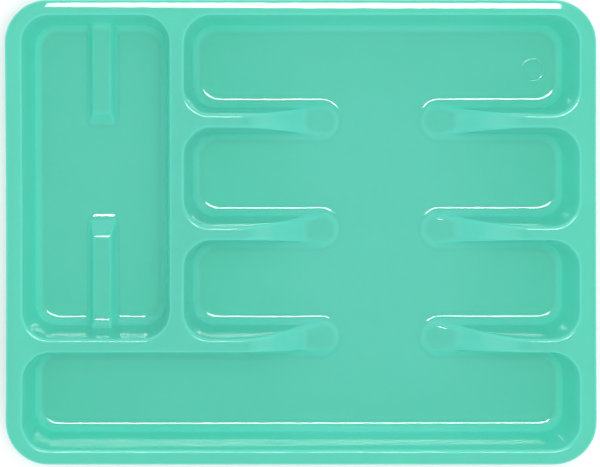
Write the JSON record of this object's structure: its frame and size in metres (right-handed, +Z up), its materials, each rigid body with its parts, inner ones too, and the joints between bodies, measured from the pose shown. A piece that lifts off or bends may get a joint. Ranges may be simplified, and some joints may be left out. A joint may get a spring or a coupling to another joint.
{
  "type": "cutlery tray",
  "caption": "Moulded plastic drawer tray with a tall side compartment, long rows joined by a dropped finger channel, a full-width near compartment and a turned-down rim.",
  "frame": {"origin": "on the surface the tray stands on, below the middle of its outline", "axes": "+X along the tray, away from the tall side compartment; +Y across it, away from the full-width compartment; +Z up"},
  "size_m": [0.385, 0.302, 0.045],
  "materials": {
    "mint_gloss_plastic": "glossy mint turquoise, self-coloured plastic"
  },
  "bodies": {
    "root": {"tray_moulding": "mint_gloss_plastic"}
  },
  "joints": []
}
